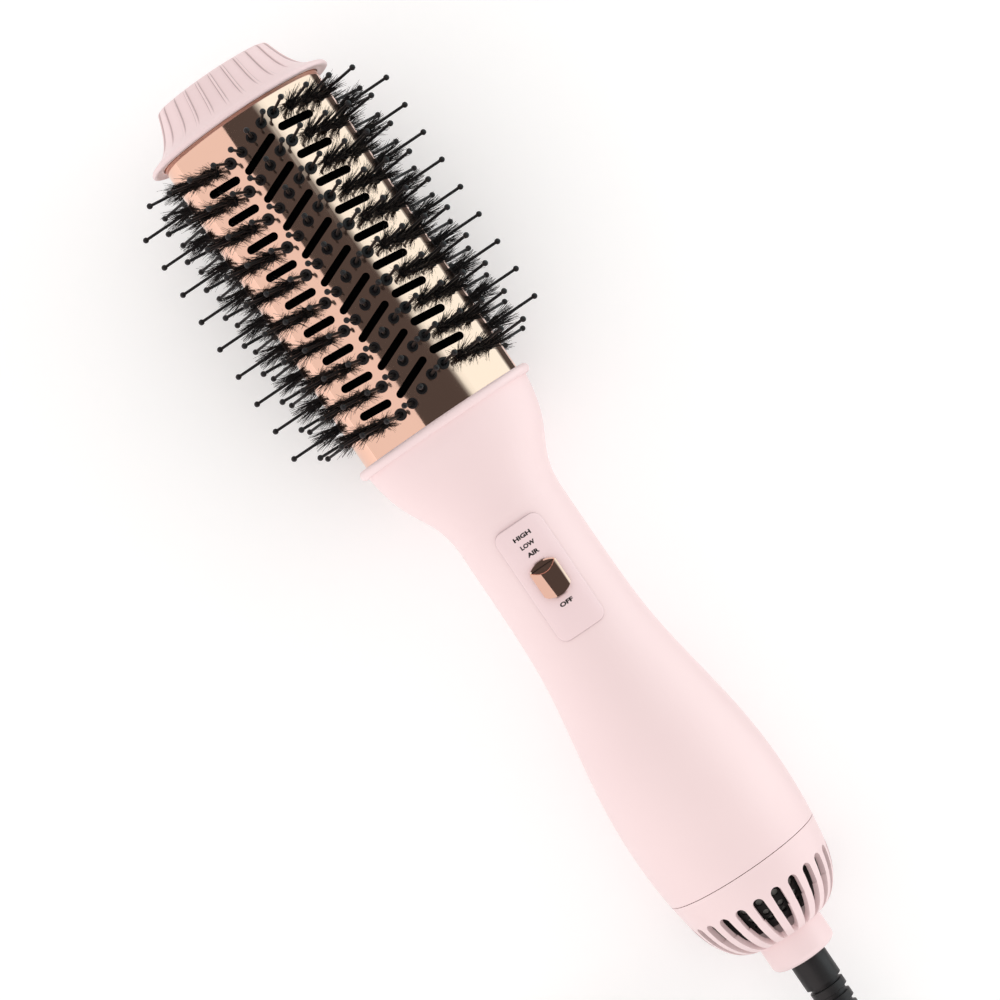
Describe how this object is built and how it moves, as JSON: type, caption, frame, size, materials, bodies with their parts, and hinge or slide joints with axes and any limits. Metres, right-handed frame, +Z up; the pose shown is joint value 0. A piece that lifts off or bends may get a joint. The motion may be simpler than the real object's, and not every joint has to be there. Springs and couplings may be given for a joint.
{
  "type": "hot air brush",
  "caption": "Oval hot air styling brush: bristled barrel with air slots, round handle with slide switch, slotted intake cover and swivel cord.",
  "frame": {"origin": "on the table, under the middle of the brush without its cord", "axes": "+X along the brush towards the cord, +Z up through the switch; the brush's own axis dips 3.5 degrees towards the cord"},
  "size_m": [0.4875, 0.1591, 0.0846],
  "materials": {
    "pink_shell": "soft-touch satin",
    "pink_plate": "satin",
    "rose_gold_barrel": "polished rose gold anodising",
    "rose_gold_knob": "polished rose gold plating",
    "pin_nylon": "moulded nylon",
    "bristle": "crimped bristle",
    "black_plastic": "moulded",
    "white_plastic": "moulded",
    "black_rubber": "moulded PVC",
    "cord_jacket": "extruded PVC",
    "steel": "plain",
    "brass": "plain",
    "heating_wire": "oxidised",
    "mica": "layered mica",
    "circuit_board": "solder mask"
  },
  "bodies": {
    "root": {"end_cap": "pink_shell", "barrel_collar": "pink_shell", "handle_upper_shell": "pink_shell", "handle_lower_shell": "pink_shell", "rear_cover": "pink_shell", "switch_plate": "pink_plate", "barrel_shell": "rose_gold_barrel", "pin_strips_front": "pin_nylon", "pin_strips_back": "pin_nylon", "bristle_strip_left_1": "pin_nylon", "bristle_strip_left_2": "pin_nylon", "bristle_strip_left_3": "pin_nylon", "bristle_strip_left_4": "pin_nylon", "bristle_strip_left_5": "pin_nylon", "bristle_strip_left_6": "pin_nylon", "bristle_strip_left_7": "pin_nylon", "bristle_strip_right_1": "pin_nylon", "bristle_strip_right_2": "pin_nylon", "bristle_strip_right_3": "pin_nylon", "bristle_strip_right_4": "pin_nylon", "bristle_strip_right_5": "pin_nylon", "bristle_strip_right_6": "pin_nylon", "bristle_strip_right_7": "pin_nylon", "tufts_left": "bristle", "tufts_right": "bristle", "barrel_front_ring": "black_plastic", "barrel_rear_ring": "black_plastic", "intake_screen": "black_plastic", "slide_switch": "black_plastic", "swivel_housing": "black_plastic", "fan_duct": "white_plastic", "cord_run": "cord_jacket", "cord_coil": "cord_jacket", "cord_tail": "cord_jacket", "plug_body": "cord_jacket", "internal_wires": "cord_jacket", "end_cap_screws": "steel", "handle_screws": "steel", "motor_can": "steel", "thermostat": "steel", "contact_blades": "brass", "plug_pins": "brass", "thermal_fuse": "brass", "heater_wire": "heating_wire", "mica_plate_flat": "mica", "mica_plate_upright": "mica", "mica_sleeve": "mica", "switch_board": "circuit_board", "motor_board": "circuit_board"},
    "switch": {"switch_knob": "rose_gold_knob"},
    "rotor": {"motor_shaft": "steel", "motor_rotor": "steel", "impeller": "white_plastic"},
    "swivel": {"strain_relief": "black_rubber", "swivel_spindle": "black_plastic", "slip_rings": "brass"}
  },
  "joints": [
    {"name": "switch_slide", "type": "slide", "parent": "root", "child": "switch", "axis": [-0.9982, 0, 0.0607], "range_m": [0, 0.0096]},
    {"name": "fan_spin", "type": "hinge", "parent": "root", "child": "rotor", "pos_m": [0.08889, 0, 0.0296], "axis": [0.9982, 0, -0.0607], "continuous": true},
    {"name": "cord_swivel", "type": "hinge", "parent": "root", "child": "swivel", "pos_m": [0.12881, 0, 0.02717], "axis": [0.9982, 0, -0.0607], "continuous": true}
  ]
}
